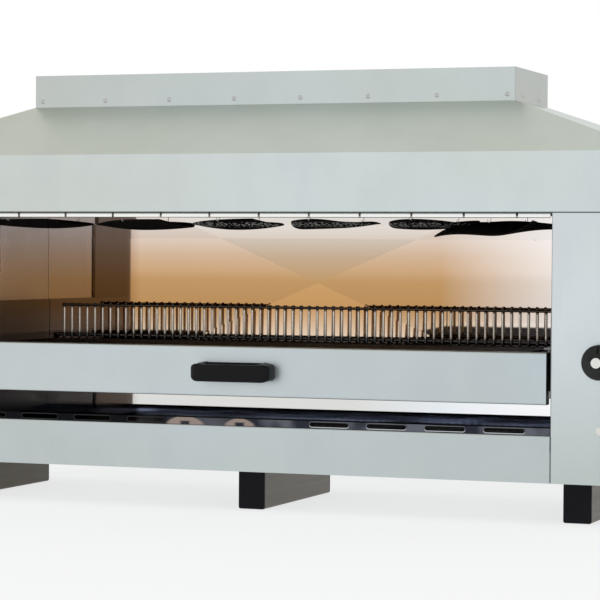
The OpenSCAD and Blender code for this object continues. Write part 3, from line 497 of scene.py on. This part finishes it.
def net_point(number, centre, u, w):
    """A point of a screen: u runs from -1 at its left end to 1, w from -1 at its front to 1."""
    shape = screen_shapes[number - 1]
    half, depth, shift, left, right, sag, stand, twist, left_share, right_share = shape
    fallen = number == fallen_screen
    pull_in = 0.25 if fallen else 0.5
    share = left_share if u < 0 else right_share
    x = shift + half * u * math.sqrt(1 - pull_in * w * w)
    y = depth * w * math.sqrt(1 - pull_in * u * u)
    z = twist * u * w - left * (1 - u) / 2 - right * (1 + u) / 2
    z += (1 - u * u * (1 - share)) * ((sag + stand) * w * w - sag)
    if fallen:
        drop = max(0.0, (0.35 - w) / 1.35) ** 1.5
        z -= drop * (21.0 - 1.5 * u - 12.5 * u ** 2 - 11.5 * u ** 3)
        x -= drop * 22.0 * ((1 - u) / 2) ** 3
    return centre.x + x * mm, centre.y + y * mm, hem_z + z * mm


def hook_wire(name, place, turn):
    """A J of thin wire that holds the edge of a screen up to its burner."""
    wire_radius, loop, bend = 0.0005, 0.0024, math.radians(220)
    stem_top = hem_z + 0.0015
    bm = bmesh.new()
    bmesh.ops.create_circle(bm, segments=8, radius=wire_radius, matrix=Matrix.Translation((loop, 0, 0)))
    ring = bm.edges[:]
    bmesh.ops.rotate(bm, verts=bm.verts[:], cent=(0, 0, 0), matrix=Matrix.Rotation(bend, 3, "Y"))
    spun = bmesh.ops.spin(
        bm, geom=ring, cent=(0, 0, 0), axis=(0, -1, 0), angle=bend, steps=12,
        use_merge=False, use_normal_flip=False,
    )["geom_last"]
    last = [e for e in spun if isinstance(e, bmesh.types.BMEdge)]
    stem = bmesh.ops.extrude_edge_only(bm, edges=last)["geom"]
    stem_end = [v for v in stem if isinstance(v, bmesh.types.BMVert)]
    bmesh.ops.translate(bm, verts=stem_end, vec=(0, 0, stem_top - place[2]))
    bmesh.ops.holes_fill(bm, edges=[e for e in bm.edges if e.is_boundary], sides=8)
    bmesh.ops.recalc_face_normals(bm, faces=bm.faces[:])
    turned = Matrix.Translation(place) @ Matrix.Rotation(math.radians(turn), 4, "Z")
    bmesh.ops.transform(bm, verts=bm.verts[:], matrix=turned)
    hook = piece_from(name, bm, clip_metal)
    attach(hook, "casing")


for number in range(1, 7):
    low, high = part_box("screen_%d" % number)
    centre = (low + high) / 2
    bm = bmesh.new()
    bmesh.ops.create_grid(bm, x_segments=22, y_segments=25, size=1.0)
    inner = [edge for edge in bm.edges if not edge.is_boundary]
    bmesh.ops.poke(bm, faces=bm.faces[:])
    bmesh.ops.dissolve_edges(bm, edges=inner, use_verts=False)
    for vert in bm.verts:
        vert.co = net_point(number, centre, vert.co.x, vert.co.y)
    net = piece_from("screen_net_%d" % number, bm, light_specked_net if number in specked_screens else scale_black)
    strands = net.modifiers.new("strands", "WIREFRAME")
    strands.thickness = thick_strand if number in coarse_screens else thin_strand
    strands.use_even_offset = False
    strands.use_boundary = True
    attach(net, "casing")
    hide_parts("screen_%d" % number)
    for end, u, w, turn in (("front", 0.06, -1, 35), ("rear", -0.06, 1, -35)):
        x, y, z = net_point(number, centre, u, w)
        hook_wire("screen_hook_%d_%s" % (number, end), (x, y, max(z, hem_z - 0.012) + 0.0016), turn)


# ---- Gas line ----
# A square manifold of zinc-plated tube feeds six brass injectors. Copper pipes join it to
# the brass tap, and the tap to the threaded brass socket at the back.
zinc = satin_steel("zinc_plate", (0.50, 0.50, 0.46), 0.4, grain=(50, 50, 50))
dress(zinc, "gas_manifold", "runner_bolts", "valve_bracket")
brass = satin_steel("brass", (0.70, 0.50, 0.22), 0.3, grain=(80, 80, 80))
dress(brass, "injectors", "gas_valve", "tap_plug", "gas_inlet")
copper = satin_steel("copper", (0.72, 0.40, 0.27), 0.32, grain=(60, 60, 60))
dress(copper, "riser_pipe", "supply_pipe")


# ---- Control knob ----
# A round knob moulded in black plastic sits on the tap's steel spindle, with a bright
# metal disc in its face. The panel and handle screws have the same bright finish.
knob_plastic, tree, shader = new_finish("knob_plastic")
shader.inputs["Base Color"].default_value = (0.006, 0.006, 0.007, 1)
shader.inputs["Specular IOR Level"].default_value = 0.3
feed(tree, spread(tree, noise_on(tree, 60.0), 0.28, 0.40), shader.inputs["Roughness"])
dress(knob_plastic, "knob")
bright_metal = satin_steel("bright_metal", (0.80, 0.82, 0.80), 0.3, grain=(60, 60, 60))
dress(bright_metal, "knob_cap", "valve_spindle", "panel_screw", "handle_screws")


# ---- Drawer ----
# The drawer's front is a folded panel of satin stainless sheet. Its frame, and the guides
# that it runs in, are bent from thicker steel, dull and darkened by the heat.
bluer_right = ("X", 0.0, 0.46, (0.93, 0.96, 0.99))
drawer_steel = satin_steel("drawer_steel", (0.60, 0.66, 0.68), 0.36, fade=(bluer_right,))
dress(drawer_steel, "drawer_front")
frame_steel = satin_steel("frame_steel", (0.22, 0.21, 0.21), 0.4)
dress(frame_steel, "drawer_frame", "left_guide", "right_guide")


# ---- Handle ----
# A bow handle moulded in black plastic: two feet and a grip that is lower in the middle,
# all its edges well rounded, held by two screws from inside the drawer front.
handle_plastic, tree, shader = new_finish("handle_plastic")
shader.inputs["Base Color"].default_value = (0.005, 0.005, 0.006, 1)
shader.inputs["Specular IOR Level"].default_value = 0.14
feed(tree, spread(tree, noise_on(tree, 40.0), 0.36, 0.52), shader.inputs["Roughness"])
raise_by(tree, shader, noise_on(tree, 900.0, detail=2.0), 0.0002, 0.3)

handle_low, handle_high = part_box("drawer_handle")
grip_front, foot_back = handle_low.y, handle_high.y
grip_back = grip_front + 0.009
middle_z = (handle_low.z + handle_high.z) / 2
half_length, half_gap = 0.060, 0.042
outer_corner, inner_corner, edge_round = 0.013, 0.006, 0.003
bm = bmesh.new()
bmesh.ops.create_grid(bm, x_segments=3, y_segments=2, size=1.0)
for vert in bm.verts:
    half = half_length if abs(vert.co.x) > 0.9 else half_gap
    y = grip_front if vert.co.y < -0.5 else grip_back if vert.co.y < 0.5 else foot_back
    vert.co = (math.copysign(half, vert.co.x), y, handle_low.z)
middles = ((face, face.calc_center_median()) for face in bm.faces)
hollow = [face for face, middle in middles if abs(middle.x) < half_gap / 2 and middle.y > grip_back]
bmesh.ops.delete(bm, geom=hollow, context="FACES")
grown = bmesh.ops.extrude_face_region(bm, geom=bm.faces[:])["geom"]
top = [v for v in grown if isinstance(v, bmesh.types.BMVert)]
bmesh.ops.translate(bm, verts=top, vec=(0, 0, handle_high.z - handle_low.z))
bmesh.ops.recalc_face_normals(bm, faces=bm.faces[:])
for at_x, at_y, radius in ((half_length, grip_front, outer_corner), (half_gap, grip_back, inner_corner)):
    upright = [
        e for e in bm.edges
        if abs(e.verts[0].co.z - e.verts[1].co.z) > 0.01
        and abs(abs(e.verts[0].co.x) - at_x) < 1e-4 and abs(e.verts[0].co.y - at_y) < 1e-4
    ]
    bmesh.ops.bevel(bm, geom=upright, offset=radius, segments=6, affect="EDGES", profile=0.5, material=-1)
around = [
    e for e in bm.edges
    if abs(e.verts[0].co.z - e.verts[1].co.z) < 1e-5 and len(e.link_faces) == 2
    and min(v.co.y for v in e.verts) < foot_back - 0.0005 and abs(e.calc_face_angle(0.0)) > 1.0
]
bmesh.ops.bevel(bm, geom=around, offset=edge_round, segments=3, affect="EDGES", profile=0.5, material=-1)
for step in range(-6, 7):
    bmesh.ops.bisect_plane(
        bm, geom=bm.verts[:] + bm.edges[:] + bm.faces[:], dist=1e-6,
        plane_co=(0.007 * step, 0, 0), plane_no=(1, 0, 0),
    )

# Its top slopes down to the front and dips over the grip, and its ends are rounded
front_slope, grip_dip = 0.0030, 0.0012
for vert in bm.verts:
    if vert.co.z > middle_z:
        out = (foot_back - vert.co.y) / (foot_back - grip_front)
        waist = min(1.0, max(0.0, (0.050 - abs(vert.co.x)) / 0.012))
        vert.co.z -= out * (front_slope + grip_dip * waist * waist * (3 - 2 * waist))
    end = min(1.0, max(0.0, (abs(vert.co.x) - 0.049) / 0.011))
    vert.co.z = middle_z + (vert.co.z - middle_z) * math.sqrt(1 - 0.60 * end ** 2)
bmesh.ops.remove_doubles(bm, verts=bm.verts[:], dist=1e-6)
bmesh.ops.recalc_face_normals(bm, faces=bm.faces[:])

# A back plate of the same black plastic closes the bow against the drawer front: a dark sheet put in for the
# shade seen behind the grip
plate_size = (0.096, 0.0029, 0.026, 1)
plate_place = (0, foot_back - 0.0015, middle_z)
plate = bmesh.ops.create_cube(bm, size=1.0)["verts"]
bmesh.ops.transform(bm, verts=plate, matrix=Matrix.Translation(plate_place) @ Matrix.Diagonal(plate_size))
plate_edges = list({e for v in plate for e in v.link_edges})
bmesh.ops.bevel(bm, geom=plate_edges, offset=0.001, segments=2, affect="EDGES", profile=0.5, material=-1)
bow_handle = piece_from("bow_handle", bm, handle_plastic)
bow_handle.data.shade_smooth()
bow_handle.data.set_sharp_from_angle(angle=math.radians(40))
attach(bow_handle, "drawer")
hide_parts("drawer_handle")


# ---- Rack ----
# Bent wires are welded over cross rods and stand up as a fence at the back. The upright wires are bare and
# bright, and the deck, the rods and the top are darkened nearly to black.
black_deck = ("Z", 0.250, 0.244, (0.11, 0.11, 0.12))
black_top = ("Z", 0.283, 0.286, (0.13, 0.11, 0.10))
rack_wire = satin_steel(
    "rack_wire", (0.80, 0.74, 0.67), 0.30, grain=(60, 60, 60), fade=(black_deck, black_top),
)
shader_of(rack_wire).inputs["Specular Tint"].default_value = (0.32, 0.32, 0.34, 1)
dress(rack_wire, "rack_grid")


# ---- Runners ----
# Three lengths of dark steel box tube are bolted under the base pan. Moulded black plastic
# caps, finely pebbled, close both ends of each.
tube_steel = satin_steel(
    "tube_steel", (0.135, 0.125, 0.108), 0.42, grain=(200, 4, 200), cloud=(1, 6, 1),
    fade=(("X", 0.0, -0.3, (0.62, 0.60, 0.56)),),
)
dress(tube_steel, "left_runner", "middle_runner", "right_runner")
cap_plastic, tree, shader = new_finish("cap_plastic")
shader.inputs["Base Color"].default_value = (0.006, 0.006, 0.009, 1)
shader.inputs["Specular IOR Level"].default_value = 0.14
feed(tree, spread(tree, noise_on(tree, 30.0), 0.45, 0.6), shader.inputs["Roughness"])
raise_by(tree, shader, noise_on(tree, 700.0), 0.0002, 0.3)
dress(cap_plastic, "left_runner_caps", "middle_runner_caps", "right_runner_caps")
